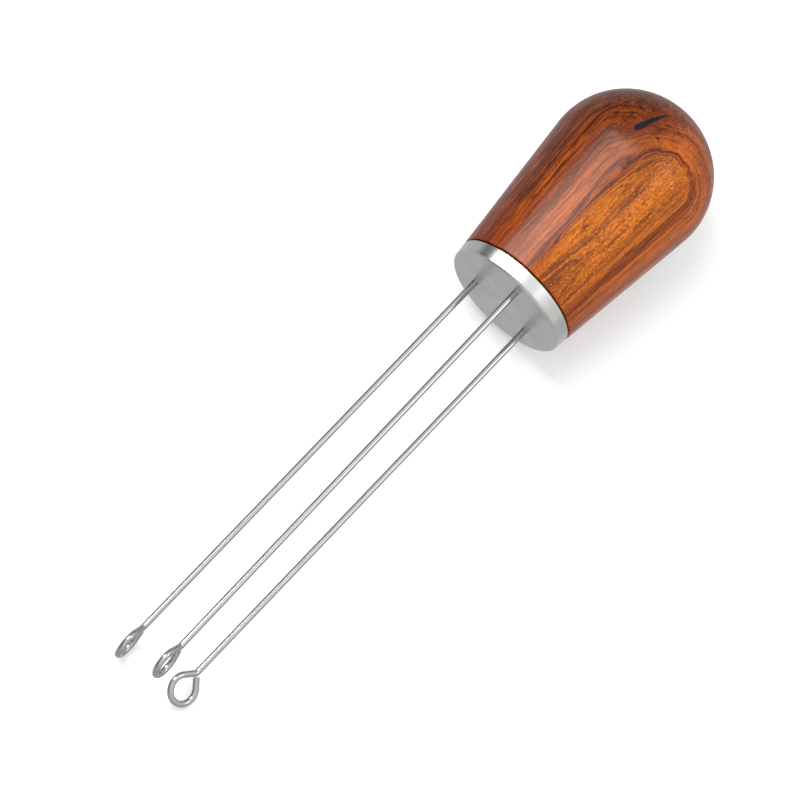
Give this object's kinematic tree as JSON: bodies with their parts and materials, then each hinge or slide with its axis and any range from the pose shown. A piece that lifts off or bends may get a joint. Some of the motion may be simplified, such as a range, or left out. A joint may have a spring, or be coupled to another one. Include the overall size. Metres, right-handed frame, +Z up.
{
  "type": "coffee stirring tool",
  "caption": "Hand stirring tool: a turned wooden palm knob on a steel base that carries long parallel steel wires, each bent into an open eye at its free end.",
  "frame": {"origin": "bottom centre of the bounding box of the tool as it lies at rest, on the surface it lies on", "axes": "+Z up; +X along the tool, from the eyes of the wires towards the dome of the handle; +Y to the left, looking along +X"},
  "size_m": [0.1722, 0.0372, 0.0372],
  "materials": {
    "rosewood": "glossy lacquer over reddish-brown figured grain",
    "brushed_steel": "fine turned brushing round the rim, satin face",
    "brass": "machined",
    "dark_steel": "blackened",
    "polished_wire": "bright drawn wire"
  },
  "bodies": {
    "root": {"wooden_handle": "rosewood", "steel_base": "brushed_steel", "threaded_insert": "brass", "joining_stud": "dark_steel", "stirring_wire_left": "polished_wire", "stirring_wire_top": "polished_wire", "stirring_wire_right": "polished_wire"}
  },
  "joints": []
}
